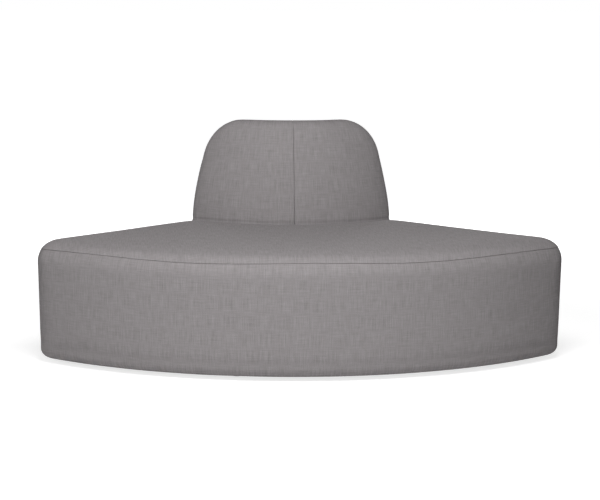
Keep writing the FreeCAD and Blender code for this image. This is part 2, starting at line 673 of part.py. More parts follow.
def main():
    os.makedirs("parts", exist_ok=True)
    for name, shape in make_sofa().items():
        shape.exportStep(os.path.join("parts", name + ".step"))
        box = shape.BoundBox
        print(f"{name}: {len(shape.Solids)} solids, valid {shape.isValid()}, volume {shape.Volume:.0f},"
              f" z {box.ZMin:.1f} to {box.ZMax:.1f}")


main()
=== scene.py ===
from math import acos, asin, atan, atan2, cos, hypot, pi, radians, sin, sqrt, tan

import bpy
import numpy as np
from mathutils import Matrix, Vector, noise
from numpy.linalg import norm


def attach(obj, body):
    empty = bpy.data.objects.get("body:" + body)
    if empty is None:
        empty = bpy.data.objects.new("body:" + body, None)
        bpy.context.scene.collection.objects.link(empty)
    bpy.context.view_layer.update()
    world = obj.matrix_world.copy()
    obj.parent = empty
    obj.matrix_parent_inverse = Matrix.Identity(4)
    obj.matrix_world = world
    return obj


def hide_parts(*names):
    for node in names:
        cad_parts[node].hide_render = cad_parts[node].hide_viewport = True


# Curved sofa: its soft cover and padding, its finishes and a plain studio. Metres.
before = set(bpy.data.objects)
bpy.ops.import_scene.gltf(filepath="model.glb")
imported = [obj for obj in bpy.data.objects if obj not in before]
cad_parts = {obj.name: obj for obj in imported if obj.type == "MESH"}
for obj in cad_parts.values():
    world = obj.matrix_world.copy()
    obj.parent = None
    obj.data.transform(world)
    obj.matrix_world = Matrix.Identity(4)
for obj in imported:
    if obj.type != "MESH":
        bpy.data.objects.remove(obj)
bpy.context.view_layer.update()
scene = bpy.context.scene

# Form of the upholstered bodies, as in the CAD model
HALF_ANGLE = radians(45)
OUTER_RADIUS = 1.345
BACK_FOOT_RADIUS = 0.540
REAR_RADIUS = 0.340
END_OFFSET = 0.030
SEAT_HEIGHT = 0.432
OVERALL_HEIGHT = 0.806
FOOT_HEIGHT = 0.012
SEAT_TAPER = 0.0075
BACK_TOP_DEPTH = 0.086
BACK_CURVE = radians(14)
SEAT_TOP_ROUND = 0.076
FRONT_CORNER_ROUND = 0.090
SEAT_FOOT_ROUND = 0.042
BACK_EDGE_ROUND = 0.045
BACK_TOP_CORNER_ROUND = 0.140

# Seams and padding
SEAM_HEIGHT = 0.403
SEAM_WAVE = 0.003
SEAM_WAVE_ANGLE = radians(35)
BACK_SEAM_HEIGHT = 0.332
FRONT_SEAM_WRAP = 0.060
REAR_SEAM_RADIUS = 0.388
SEAM_GAP = 0.0002
TUCK_GAP = 0.0006
HEM_INSET = 0.070
REAR_FOOT_TURN = radians(170)
PADDING = 0.020
REAR_PADDING = 0.013
HEM_THICKNESS = 0.0012
THINNING_START = radians(100)
THINNING_TURN = radians(80)
CUSHION_BOTTOM = 0.3035
CUSHION_SIDE_INSET = 0.042
CUSHION_SIDE_HEIGHT = 0.389

# Mesh spacing
GRID = 0.014
CORNER_STEPS = 10
RIM_STEPS = 6
SEAM_ROWS = (0.0, 0.0005, 0.0014, 0.003, 0.0065)
FLAT_RADIUS = 0.47
LEVEL_POWER = 3
FAR = 1.0

# Swelling of the cover
PRESSURE = 14.0
SETTLE_FRAMES = 20
CLOTH_QUALITY = 4
CLOTH_MASS = 0.15
PUFF_LIMIT = 0.0045

# Seams, and the slight slack of hand-laid padding
SEAM_ROLL = 0.0025
BACK_SEAM_ROLL = 0.0008
BACK_SEAM_SHARPNESS = 0.28
SLACK = 0.0006
SLACK_SIZE = 0.17
SLACK_FADE = 0.05

# Where the cover is pulled in: between seat and back, and at the foot
TUCK = 0.003
TUCK_REACH = 0.05
CREASE = 0.003
CREASE_REACH = 0.007
FOOT_TUCK = 0.0035
FOOT_TUCK_HEIGHT = 0.056
FOOT_TUCK_REACH = 0.017
FOOT_ROLL_SHARE = 0.2
FOOT_LOW, FOOT_HIGH = 0.035, 0.075

# Fuller roll just above the seam along the front
FRONT_ROLL = 0.003
FRONT_ROLL_PLACE = 0.024
FRONT_ROLL_WIDTH = 0.016
FRONT_ROLL_FADE = radians(8)

# Shoulders of the back: side, share of the corner's turn, how far it is pulled in, and the reach of that
SHOULDERS = ((-1, 0.2, 0.0055, 0.11), (1, 0.5, -0.0015, 0.09))

# How many edge rounds behind its front the back is no longer pulled in
BACK_FADE = 1.5

# Worked out from the sizes above
UP = np.array([0.0, 0.0, 1.0])
TAPER_TURN = atan(SEAT_TAPER / (SEAT_HEIGHT - FOOT_HEIGHT))
TOP_INSET = SEAT_TOP_ROUND * tan(pi / 4 + TAPER_TURN / 2)
CORNER_OFFSET = END_OFFSET - FRONT_CORNER_ROUND
CORNER_START = sqrt((OUTER_RADIUS - FRONT_CORNER_ROUND) ** 2 - CORNER_OFFSET ** 2)
CORNER_LEAN = atan(-CORNER_OFFSET / CORNER_START)
FRONT_SEAM_START = CORNER_START - FRONT_SEAM_WRAP
REAR_CORNER_OFFSET = END_OFFSET - BACK_EDGE_ROUND
REAR_CORNER_START = sqrt((REAR_RADIUS + BACK_EDGE_ROUND) ** 2 - REAR_CORNER_OFFSET ** 2)
REAR_CORNER_LEAN = atan(-REAR_CORNER_OFFSET / REAR_CORNER_START)
WIDEST_RADIUS = OUTER_RADIUS - TOP_INSET + SEAT_TOP_ROUND
REAR_REACH = (REAR_CORNER_START * cos(HALF_ANGLE) - REAR_CORNER_OFFSET * sin(HALF_ANGLE)
              - BACK_EDGE_ROUND)
HUB = np.array([0.0, (WIDEST_RADIUS + REAR_REACH) / 2, 0.0])

# Front face of the back: an arc in radius and height
BACK_RISE = OVERALL_HEIGHT - SEAT_HEIGHT
BACK_SETBACK = BACK_FOOT_RADIUS - REAR_RADIUS - BACK_TOP_DEPTH
BACK_ARC = hypot(BACK_RISE, BACK_SETBACK) / (2 * sin(BACK_CURVE / 2))
LEAN_AT_SEAT = atan2(BACK_SETBACK, BACK_RISE) - BACK_CURVE / 2
BACK_ARC_RADIUS_AT = BACK_FOOT_RADIUS - BACK_ARC * cos(LEAN_AT_SEAT)
BACK_ARC_HEIGHT_AT = SEAT_HEIGHT - BACK_ARC * sin(LEAN_AT_SEAT)


# Places in plan

def between(start, stop, share):
    """A share of the way from one value to another."""
    return start + (stop - start) * share


def eased(share):
    """Smooth step from 0 to 1."""
    share = np.clip(share, 0.0, 1.0)
    return share * share * (3 - 2 * share)


def end_axes(side):
    """Unit vectors along an end, away from the axis, and out of its face."""
    along = np.array([side * sin(HALF_ANGLE), -cos(HALF_ANGLE), 0.0])
    out = np.array([side * cos(HALF_ANGLE), sin(HALF_ANGLE), 0.0])
    return along, out


def radial(angle):
    """Unit vector from the axis, at an angle to the right of straight ahead."""
    return np.array([sin(angle), -cos(angle), 0.0])


def angle_of(point):
    """Angle of a point round the axis."""
    return atan2(point[0], HUB[1] - point[1])


def back_front_radius(height, inset=0.0):
    """Radius of the back's front face, or of a face inside it, at a height."""
    rise = height - BACK_ARC_HEIGHT_AT
    return BACK_ARC_RADIUS_AT + np.sqrt((BACK_ARC - inset) ** 2 - rise ** 2)


def contact_distance(inset, height):
    """Distance along an end at which a line inside it meets the back."""
    offset = END_OFFSET - inset
    face = back_front_radius(max(height, BACK_SEAM_HEIGHT)) + TUCK_GAP
    beyond = offset - REAR_CORNER_OFFSET
    if beyond <= 0:
        return sqrt(face ** 2 - offset ** 2)
    edge = BACK_EDGE_ROUND + TUCK_GAP
    centre = sqrt((face - edge) ** 2 - REAR_CORNER_OFFSET ** 2)
    return centre + sqrt(edge ** 2 - beyond ** 2)


def taper_at(height):
    """How far the tapered walls lie inside the seat's top edge at a height."""
    return (SEAT_HEIGHT - height) * tan(TAPER_TURN)


# Stations: each gives a plan point and its outward direction for an inset and a height

def on_end(side, distance_at):
    """Station on an end, at a distance that may follow the inset and height."""
    along, out = end_axes(side)

    def place(inset, height):
        return HUB + distance_at(inset, height) * along + (END_OFFSET - inset) * out, out
    return place


def end_station(side, share, stop):
    """Station on an end, a share of the way from the back to a distance."""
    return on_end(side, lambda inset, height: between(contact_distance(inset, height), stop, share))


def beside_station(side, share):
    """Station on an end, a share of the way from the rear corner to the back's front."""
    start = REAR_CORNER_START + SEAM_GAP
    return on_end(side, lambda inset, height: between(start, contact_distance(inset, height), share))


def fixed_station(side, distance):
    """Station on a straight end at a distance from the axis."""
    return on_end(side, lambda inset, height: distance)


def on_round(centre, facing, radius_at):
    """Station on a round, with a radius that may follow the inset and height."""
    def place(inset, height):
        return centre + radius_at(inset, height) * facing, facing
    return place


def corner_station(side, share):
    """Station on a front corner, a share of the turn from the end."""
    along, out = end_axes(side)
    turn = share * (pi / 2 + CORNER_LEAN)
    facing = cos(turn) * out + sin(turn) * along
    centre = HUB + CORNER_START * along + CORNER_OFFSET * out
    return on_round(centre, facing, lambda inset, height: FRONT_CORNER_ROUND - inset)


def front_station(share):
    """Station on the front arc, a share of the way from its left."""
    facing = radial((2 * share - 1) * (HALF_ANGLE - CORNER_LEAN))
    return on_round(HUB, facing, lambda inset, height: OUTER_RADIUS - inset)


def rear_corner_station(side, share):
    """Station on a rear corner, a share of the turn from the end."""
    along, out = end_axes(side)
    turn = share * (pi / 2 - REAR_CORNER_LEAN)
    facing = cos(turn) * out - sin(turn) * along
    centre = HUB + REAR_CORNER_START * along + REAR_CORNER_OFFSET * out
    return on_round(centre, facing, lambda inset, height: BACK_EDGE_ROUND - inset + share * taper_at(height))


def rear_station(share):
    """Station on the rear arc, a share of the way from its left."""
    facing = -radial((2 * share - 1) * (HALF_ANGLE - REAR_CORNER_LEAN))
    return on_round(HUB, facing, lambda inset, height: taper_at(height) - inset - REAR_RADIUS)


# The seat's edge in section: flat top, round, wall, round, hem

ROUND_LENGTH = SEAT_TOP_ROUND * (pi / 2 + TAPER_TURN)
ROUND_END_HEIGHT = SEAT_HEIGHT - SEAT_TOP_ROUND * (1 + sin(TAPER_TURN))
FOOT_CENTRE_INSET = SEAT_TAPER + SEAT_FOOT_ROUND * tan(pi / 4 - TAPER_TURN / 2)
FOOT_CENTRE_HEIGHT = FOOT_HEIGHT + SEAT_FOOT_ROUND
FOOT_START_HEIGHT = FOOT_CENTRE_HEIGHT - SEAT_FOOT_ROUND * sin(TAPER_TURN)
WALL_LENGTH = (ROUND_END_HEIGHT - FOOT_START_HEIGHT) / cos(TAPER_TURN)
FOOT_LENGTH = SEAT_FOOT_ROUND * (pi / 2 - TAPER_TURN)
SECTION_LENGTH = ROUND_LENGTH + WALL_LENGTH + FOOT_LENGTH + HEM_INSET - FOOT_CENTRE_INSET


def section(length):
    """Inset, height and turn from straight up, at a length from the flat top."""
    if length <= ROUND_LENGTH:
        turn = length / SEAT_TOP_ROUND
        inset = TOP_INSET - SEAT_TOP_ROUND * sin(turn)
        return inset, SEAT_HEIGHT - SEAT_TOP_ROUND * (1 - cos(turn)), turn
    length -= ROUND_LENGTH
    flat_turn = pi / 2 + TAPER_TURN
    if length <= WALL_LENGTH:
        height = ROUND_END_HEIGHT - length * cos(TAPER_TURN)
        return taper_at(height), height, flat_turn
    length -= WALL_LENGTH
    if length <= FOOT_LENGTH:
        turn = flat_turn + length / SEAT_FOOT_ROUND
        inset = FOOT_CENTRE_INSET - SEAT_FOOT_ROUND * sin(turn)
        return inset, FOOT_CENTRE_HEIGHT + SEAT_FOOT_ROUND * cos(turn), turn
    return FOOT_CENTRE_INSET + length - FOOT_LENGTH, FOOT_HEIGHT, pi


def length_at(height):
    """Length from the flat top to a height, on the upper round or the wall."""
    if height >= ROUND_END_HEIGHT:
        return SEAT_TOP_ROUND * acos(1 - (SEAT_HEIGHT - height) / SEAT_TOP_ROUND)
    return ROUND_LENGTH + (ROUND_END_HEIGHT - height) / cos(TAPER_TURN)


def seam_length(station):
    """Length to the seam under the seat's top, which waves a little."""
    point, _ = station(0.0, SEAM_HEIGHT)
    wave = cos(2 * pi * angle_of(point) / SEAM_WAVE_ANGLE)
    return length_at(SEAM_HEIGHT + SEAM_WAVE * wave)


# Spacing

def steps_for(length):
    """How many grid steps a length takes."""
    return max(2, round(length / GRID))


def spaced(start, stop, count=None, fine_start=False, fine_stop=False):
    """Even steps from start to stop, with close ones beside a seam."""
    sign = 1 if stop > start else -1
    head = [start + sign * row for row in SEAM_ROWS] if fine_start else [start]
    tail = [stop - sign * row for row in reversed(SEAM_ROWS)] if fine_stop else [stop]
    inner = np.linspace(head[-1], tail[0], (count or steps_for(abs(stop - start))) + 1)[1:-1]
    return head + list(inner) + tail


class Panel:
    """One sewn panel: its outer sheet, the inside of its padding and its seams."""

    def __init__(self, name, points, normals, flat, faces, edge_distance, inner, middle=None):
        self.name = name
        self.points = np.array(points)
        self.normals = np.array(normals)
        self.flat = np.array(flat)
        self.faces = faces
        self.edge_distance = np.array(edge_distance)
        self.inner = np.array(inner)
        self.middle = middle


def quads(index, kept=None):
    """Faces of an index grid, or of some of its cells."""
    corners = np.stack([index[:-1, :-1], index[1:, :-1], index[1:, 1:], index[:-1, 1:]], axis=-1)
    faces = corners.reshape(-1, 4) if kept is None else corners[kept]
    return faces.tolist()


def numbered(grid):
    """Index grid of the points of a grid."""
    rows, columns = grid.shape[:2]
    return np.arange(rows * columns).reshape(rows, columns)


def ringed(index, rings, count):
    """Index grid of a patch's left, top and right edge, and of the rings beyond it."""
    edge = np.concatenate([index[:, 0], index[-1, 1:], index[-2::-1, -1]])[:count]
    fresh = index.size + np.arange(rings * count).reshape(rings, count)
    return np.vstack([edge, fresh])


def split_loop(line, side_count, top_count):
    """Left, top and right of a line round three sides."""
    stop = side_count + top_count - 1
    return line[:side_count], line[side_count - 1:stop], line[stop - 1:][::-1]


def coons(left, right, low, high, across, upward):
    """Points of a patch between four edges, at shares across and upward."""
    s = across[None, :, None]
    t = upward[:, None, None]
    sides = (1 - s) * left[:, None, :] + s * right[:, None, :]
    ends = (1 - t) * low[None, :, :] + t * high[None, :, :]
    corners = ((1 - s) * (1 - t) * low[0] + s * (1 - t) * low[-1]
               + (1 - s) * t * high[0] + s * t * high[-1])
    return sides + ends - corners


def shares_along(points):
    """Share of the whole length at each point of a line."""
    lengths = np.concatenate([[0.0], np.cumsum(norm(np.diff(points, axis=0), axis=1))])
    return lengths / lengths[-1]


# Seat panels

FRONT_STEPS = steps_for(2 * (HALF_ANGLE - CORNER_LEAN) * OUTER_RADIUS)
TURNS = [step / CORNER_STEPS for step in range(CORNER_STEPS + 1)]
HALF_TURN = CORNER_STEPS // 2


def front_run(first):
    """Stations round the front, from a step of its left corner to the same of its right."""
    left = [corner_station(-1, turn) for turn in TURNS[first:]]
    arc = [front_station(step / FRONT_STEPS) for step in range(1, FRONT_STEPS)]
    return left + arc + [corner_station(1, turn) for turn in reversed(TURNS[first:])]


def top_stations():
    """Stations of the seat top's left side, front and right side, which share their ends."""
    span = CORNER_START - BACK_FOOT_RADIUS
    shares = [distance / span for distance in spaced(0.0, span, fine_start=True)]
    sides = {}
    for side in (-1, 1):
        sides[side] = [end_station(side, share, CORNER_START) for share in shares]
        sides[side] += [corner_station(side, turn) for turn in TURNS[1:HALF_TURN + 1]]
    return sides[-1], front_run(HALF_TURN), sides[1]


def top_patch(left, front, right):
    """Flat middle of the seat top between its rounded edges and the back."""
    start, stop = angle_of(left[0]), angle_of(right[0])
    angles = np.array([angle_of(point) for point in front])
    across = (angles - angles[0]) / (angles[-1] - angles[0])
    height = left[0][2]
    radius = back_front_radius(height) + TUCK_GAP
    rear = np.array([HUB + radius * radial(between(start, stop, share)) + height * UP for share in across])
    return coons(left, right, rear, front, across, shares_along(left))


def top_shape(insets, heights, loop, counts):
    """Patch and rings of the seat top, from insets and heights at the stations."""
    rings = np.zeros(insets.shape + (3,))
    for row, col in np.ndindex(insets.shape):
        point, _ = loop[col](insets[row, col], heights[row, col])
        rings[row, col] = point + heights[row, col] * UP
    return top_patch(*split_loop(rings[0], *counts)), rings


def make_seat_top():
    """The seat cushion: a flat top, its rounded edge down to the seam, and the padding."""
    left, front, right = top_stations()
    loop = left + front[1:] + right[::-1][1:]
    counts = (len(left), len(front))
    count = steps_for(length_at(SEAM_HEIGHT))
    lengths = np.array([spaced(0.0, seam_length(station), count, fine_stop=True) for station in loop]).T
    sections = np.array([[section(length) for length in row] for row in lengths])
    insets = between(TOP_INSET, CUSHION_SIDE_INSET, lengths / lengths[-1])
    bottom, side = (np.full_like(insets, height) for height in (CUSHION_BOTTOM, CUSHION_SIDE_HEIGHT))
    levels = ((sections[..., 0], sections[..., 1]), (insets, bottom), (insets, side))
    shapes = [top_shape(inset, height, loop, counts) for inset, height in levels]
    patch, rings = shapes[0]
    index = numbered(patch)
    faces = quads(index) + quads(ringed(index, len(rings) - 1, len(loop)))
    outer, inner, middle = (np.vstack([p.reshape(-1, 3), r[1:].reshape(-1, 3)]) for p, r in shapes)
    normals = [UP] * index.size
    flat = list(patch.reshape(-1, 3)[:, :2])
    for row in range(1, len(rings)):
        for col, station in enumerate(loop):
            _, facing = station(0.0, SEAT_HEIGHT)
            turn = sections[row, col, 2]
            normals.append(sin(turn) * facing + cos(turn) * UP)
            flat.append((rings[0, col] + lengths[row, col] * facing)[:2])
    distance = top_edge_distance(patch, rings, lengths)
    return Panel("seat_cushion", outer, normals, flat, faces, distance, inner, middle)


def column_distance(points, column):
    """Distance of grid points from one of their columns, straight across."""
    return norm(points - points[:, [column]], axis=2)


def side_distance(points):
    """Distance of grid points from the nearer of their end columns."""
    return np.minimum(column_distance(points, 0), column_distance(points, -1))


def top_edge_distance(patch, rings, lengths):
    """Distance of every seat top point from the seam or the back."""
    from_back = norm(patch - patch[:1], axis=2)
    to_front = lengths[-1].min() + norm(patch - patch[-1:], axis=2)
    inside = np.minimum(from_back, to_front).reshape(-1)
    edge = np.minimum(lengths[-1:] - lengths[1:], side_distance(rings[1:]))
    return np.concatenate([inside, edge.reshape(-1)])


def padding_at(turn, thickness):
    """Padding under the cover, which thins out towards the hem."""
    return between(thickness, HEM_THICKNESS, eased((turn - THINNING_START) / THINNING_TURN))


def wall_grid(stations, lengths, thickness):
    """Outer points, normals, inner points and flat places of an upright panel."""
    points, normals, inner, flat = (np.zeros(lengths.shape + (size,)) for size in (3, 3, 3, 2))
    run, last = 0.0, None
    for col, station in enumerate(stations):
        base, facing = station(0.0, BACK_SEAM_HEIGHT)
        run += 0.0 if last is None else norm(base - last)
        last = base
        for row, length in enumerate(lengths[:, col]):
            inset, height, turn = section(length)
            place, facing = station(inset, height)
            points[row, col] = place + height * UP
            normals[row, col] = sin(turn) * facing + cos(turn) * UP
            inner[row, col] = points[row, col] - padding_at(turn, thickness) * normals[row, col]
            flat[row, col] = run, -length
    return points, normals, inner, flat


def grid_panel(name, grid, edge_distance, kept=None):
    """Panel from a point grid, leaving out what no kept cell uses."""
    index = numbered(grid[0])
    faces = quads(index, kept)
    used = np.unique(faces)
    renumbered = np.searchsorted(used, faces).tolist()
    points, normals, inner, flat = (array.reshape(index.size, -1)[used] for array in grid)
    return Panel(name, points, normals, flat, renumbered, edge_distance.reshape(-1)[used], inner)


def wall_panel(name, stations, lengths, thickness):
    """Upright panel with a seam along its top and both of its sides."""
    grid = wall_grid(stations, lengths, thickness)
    return grid_panel(name, grid, np.minimum(lengths - lengths[:1], side_distance(grid[0])))


def make_seat_front():
    """The seat's front, which wraps both corners and is hemmed under the base."""
    wrap = spaced(FRONT_SEAM_START + SEAM_GAP, CORNER_START, fine_start=True)
    stations = [fixed_station(-1, distance) for distance in wrap[:-1]] + front_run(0)
    stations += [fixed_station(1, distance) for distance in reversed(wrap[:-1])]
    count = steps_for(SECTION_LENGTH - length_at(SEAM_HEIGHT))
    columns = [spaced(seam_length(station) + SEAM_GAP, SECTION_LENGTH, count, fine_start=True)
               for station in stations]
    return wall_panel("seat_front_pad", stations, np.array(columns).T, PADDING)


def make_seat_end(side, name):
    """One end of the seat, which is lower beside the back, up to the back's seam."""
    seam_at = length_at(BACK_SEAM_HEIGHT)
    join = contact_distance(taper_at(BACK_SEAM_HEIGHT), BACK_SEAM_HEIGHT)
    beside = join - REAR_CORNER_START
    rear_places = spaced(0.0, beside, fine_start=True)[:-1]
    stop = FRONT_SEAM_START - SEAM_GAP
    span = stop - join
    front_places = spaced(0.0, span, fine_start=True, fine_stop=True)
    stations = [beside_station(side, distance / beside) for distance in rear_places]
    stations += [end_station(side, distance / span, stop) for distance in front_places]
    upper_count = steps_for(seam_at - length_at(SEAM_HEIGHT))
    lower = spaced(seam_at + SEAM_GAP, SECTION_LENGTH, fine_start=True)
    columns = []
    for station in stations:
        upper = spaced(seam_length(station) + SEAM_GAP, seam_at + SEAM_GAP, upper_count, fine_start=True)
        columns.append(upper[:-1] + lower)
    lengths = np.array(columns).T
    grid = wall_grid(stations, lengths, PADDING)
    upper_rows, rear_columns = lengths.shape[0] - len(lower), len(rear_places)
    kept = np.ones_like(lengths[1:, 1:], bool)
    kept[:upper_rows, :rear_columns] = False
    edge = np.minimum(lengths - lengths[:1], column_distance(grid[0], -1))
    edge[:, :rear_columns] = (lengths - lengths[[upper_rows]])[:, :rear_columns]
    edge = np.minimum(edge, column_distance(grid[0], 0))
    contact = column_distance(grid[0], rear_columns)
    edge[:upper_rows, rear_columns:] = np.minimum(edge, contact)[:upper_rows, rear_columns:]
    if side > 0:
        grid = [array[:, ::-1] for array in grid]
        edge, kept = edge[:, ::-1], kept[:, ::-1]
    return grid_panel(name, grid, edge, kept)


def make_seat_rear():
    """The seat's rear under the back, with both rear corners."""
    steps = steps_for(2 * REAR_RADIUS * (HALF_ANGLE - REAR_CORNER_LEAN))
    stations = [rear_corner_station(1, turn) for turn in TURNS]
    stations += [rear_station(1 - step / steps) for step in range(1, steps)]
    stations += [rear_corner_station(-1, turn) for turn in reversed(TURNS)]
    start = length_at(BACK_SEAM_HEIGHT) + SEAM_GAP
    stop = ROUND_LENGTH + WALL_LENGTH + SEAT_FOOT_ROUND * (REAR_FOOT_TURN - pi / 2)
    column = spaced(start, stop, fine_start=True)
    lengths = np.repeat(np.array(column)[:, None], len(stations), axis=1)
    return wall_panel("seat_rear_pad", stations, lengths, REAR_PADDING)


# Back panels

class Rim:
    """One place on the back's rim: its front and rear rounds and how they face."""

    def __init__(self, front_centre, rear_centre, facing, way):
        rise = front_centre[2] - BACK_ARC_HEIGHT_AT
        lean = asin(rise / (BACK_ARC - BACK_EDGE_ROUND))
        self.front_centre = front_centre
        self.rear_centre = rear_centre
        self.facing = facing
        self.way = np.array(way)
        self.front_facing = cos(lean) * radial(angle_of(front_centre)) + sin(lean) * UP
        self.rear_facing = -radial(angle_of(rear_centre))

    def seam_point(self):
        """Where the seam between the cover's front and rear crosses the rim."""
        start = self.front_centre + BACK_EDGE_ROUND * self.facing
        stop = self.rear_centre + BACK_EDGE_ROUND * self.facing
        near, far = (norm((point - HUB)[:2]) for point in (stop, start))
        return stop + (start - stop) * (REAR_SEAM_RADIUS - near) / (far - near)


def rim_radii(height):
    """Radii of the centres of the rim's front and rear rounds at a height."""
    return back_front_radius(height, BACK_EDGE_ROUND), REAR_RADIUS + BACK_EDGE_ROUND


def rim_beside(side, offset, height, facing, way):
    """Rim place at an offset from the end's reference line and a height."""
    along, out = end_axes(side)
    distances = [sqrt(radius ** 2 - offset ** 2) for radius in rim_radii(height)]
    front, rear = (HUB + distance * along + offset * out + height * UP for distance in distances)
    return Rim(front, rear, facing, way)


def rim_corner(side, share):
    """Rim place on an upper corner, a share of the turn from the end to the top."""
    turn = share * pi / 2
    radius = BACK_TOP_CORNER_ROUND - BACK_EDGE_ROUND
    offset = END_OFFSET - BACK_TOP_CORNER_ROUND + radius * cos(turn)
    height = OVERALL_HEIGHT - BACK_TOP_CORNER_ROUND + radius * sin(turn)
    facing = cos(turn) * end_axes(side)[1] + sin(turn) * UP
    return rim_beside(side, offset, height, facing, (side * cos(turn), sin(turn)))


def top_angle(radius):
    """Angle at which the straight part of the back's top ends, at a radius."""
    return HALF_ANGLE - asin((BACK_TOP_CORNER_ROUND - END_OFFSET) / radius)


def rim_top(share):
    """Rim place on the back's top, from -1 at its left to 1 at its right."""
    height = OVERALL_HEIGHT - BACK_EDGE_ROUND
    front, rear = (HUB + radius * radial(share * top_angle(radius)) + height * UP
                   for radius in rim_radii(height))
    return Rim(front, rear, UP, (0.0, 1.0))


def turned(start, stop, share):
    """Unit vector a share of the way between two others, and their angle."""
    angle = acos(float(np.clip(np.dot(start, stop), -1.0, 1.0)))
    return (sin((1 - share) * angle) * start + sin(share * angle) * stop) / sin(angle), angle


TOP_RUN = top_angle(REAR_SEAM_RADIUS) * REAR_SEAM_RADIUS
CORNER_TURN_HEIGHT = OVERALL_HEIGHT - BACK_TOP_CORNER_ROUND
BACK_FOOT_HEIGHT = BACK_SEAM_HEIGHT + SEAM_GAP


def side_rims(side):
    """Rim places up one end, from its foot to the middle of its upper corner."""
    heights = spaced(BACK_FOOT_HEIGHT, SEAT_HEIGHT, fine_start=True, fine_stop=True)[:-1]
    heights += spaced(SEAT_HEIGHT, CORNER_TURN_HEIGHT, fine_start=True)
    out = end_axes(side)[1]
    rims = [rim_beside(side, REAR_CORNER_OFFSET, height, out, (side, 0.0)) for height in heights]
    return rims + [rim_corner(side, turn) for turn in TURNS[1:HALF_TURN + 1]]


def rim_column(rim, front, wall_steps):
    """Points, normals and lengths from a face's edge over its rim to the seam."""
    centre, facing = rim.rear_centre, rim.rear_facing
    if front:
        centre, facing = rim.front_centre, rim.front_facing
    column = []
    for step in range(RIM_STEPS + 1):
        share = step / RIM_STEPS
        normal, angle = turned(facing, rim.facing, share)
        column.append((centre + BACK_EDGE_ROUND * normal, normal, BACK_EDGE_ROUND * angle * share))
    start, _, round_length = column[-1]
    run = norm(rim.seam_point() - start)
    way = (rim.seam_point() - start) / run
    lengths = [run]
    if wall_steps:
        lengths = spaced(0.0, run - SEAM_GAP, wall_steps, fine_stop=True)[1:]
    return column + [(start + length * way, rim.facing, round_length + length) for length in lengths]


def rim_grid(rims, front, wall_steps):
    """Rows of points, normals and lengths across every rim place."""
    return list(zip(*(rim_column(rim, front, wall_steps) for rim in rims)))


def rim_line(rows):
    """Edge of a face of the back laid out flat: run round the axis, and height."""
    return np.array([(angle_of(point) * FLAT_RADIUS, point[2]) for point, _, _ in rows[0]])


def face_patch(left, right, high, across):
    """A face of the back laid out flat between its sides and its top."""
    low = between(left[0], right[0], across[:, None])
    return coons(left, right, low, high, across, shares_along(left) ** LEVEL_POWER)


def front_face(angle, height):
    """Point and normal on the front face of the back."""
    lean = asin((height - BACK_ARC_HEIGHT_AT) / BACK_ARC)
    point = HUB + back_front_radius(height) * radial(angle) + height * UP
    return point, cos(lean) * radial(angle) + sin(lean) * UP


def rear_face(angle, height):
    """Point and normal on the rear face of the back."""
    return HUB + REAR_RADIUS * radial(angle) + height * UP, -radial(angle)


def back_panel(name, face, patch, rows, rims, thickness, outward):
    """Panel of the back from its flat face and the rows over its rim."""
    index = numbered(patch)
    rim_index = ringed(index, len(rows) - 1, len(rims))
    flat = list(patch.reshape(-1, 2))
    points, normals = (list(part) for part in zip(*(face(run / FLAT_RADIUS, height) for run, height in flat)))
    seam = [FAR] * index.size
    for row in rows[1:]:
        for col, (point, normal, length) in enumerate(row):
            points.append(point)
            normals.append(normal)
            flat.append(flat[rim_index[0, col]] + rims[col].way * length)
            seam.append(rows[-1][col][2] - length)
    if outward:
        index, rim_index = index[::-1], rim_index[:, ::-1]
    faces = quads(index) + quads(rim_index)
    points, normals = np.array(points), np.array(normals)
    distance = np.minimum(seam, points[:, 2] - BACK_FOOT_HEIGHT)
    return Panel(name, points, normals, flat, faces, distance, points - thickness * normals)


def make_back_front_left():
    """Left half of the front of the back, over its rim to the rear seam."""
    side = side_rims(-1)
    gap_share = SEAM_GAP / TOP_RUN
    run = spaced(1.0, gap_share, steps_for(TOP_RUN))
    fine = [row / TOP_RUN for row in reversed(SEAM_ROWS)]
    run = [share for share in run if share > fine[0]] + [gap_share + share for share in fine]
    upper = [rim_corner(-1, turn) for turn in TURNS[HALF_TURN:]] + [rim_top(-share) for share in run[1:]]
    rims = side + upper[1:]
    wall = back_front_radius(BACK_FOOT_HEIGHT) - REAR_SEAM_RADIUS
    rows = rim_grid(rims, True, steps_for(wall))
    line = rim_line(rows)
    left, high = line[:len(side)], line[len(side) - 1:]
    middle, top = high[-1]
    above = np.maximum(left[:, 1] - CORNER_TURN_HEIGHT, 0.0)
    stretched = left[:, 1] + above * ((top - CORNER_TURN_HEIGHT) / above[-1] - 1)
    right = np.array([(middle, height) for height in stretched])
    flat = face_patch(left, right, high, shares_along(high))
    panel = back_panel("back_front_left_pad", front_face, flat, rows, rims, PADDING, True)
    panel.edge_distance = np.minimum(panel.edge_distance, panel.points[:, 0].max() - panel.points[:, 0])
    return panel


def mirrored(panel, name):
    """The same panel on the other side."""
    flip = np.array([-1.0, 1.0, 1.0])
    faces = [tuple(reversed(face)) for face in panel.faces]
    return Panel(name, panel.points * flip, panel.normals * flip, panel.flat * flip[:2], faces,
                 panel.edge_distance, panel.inner * flip)


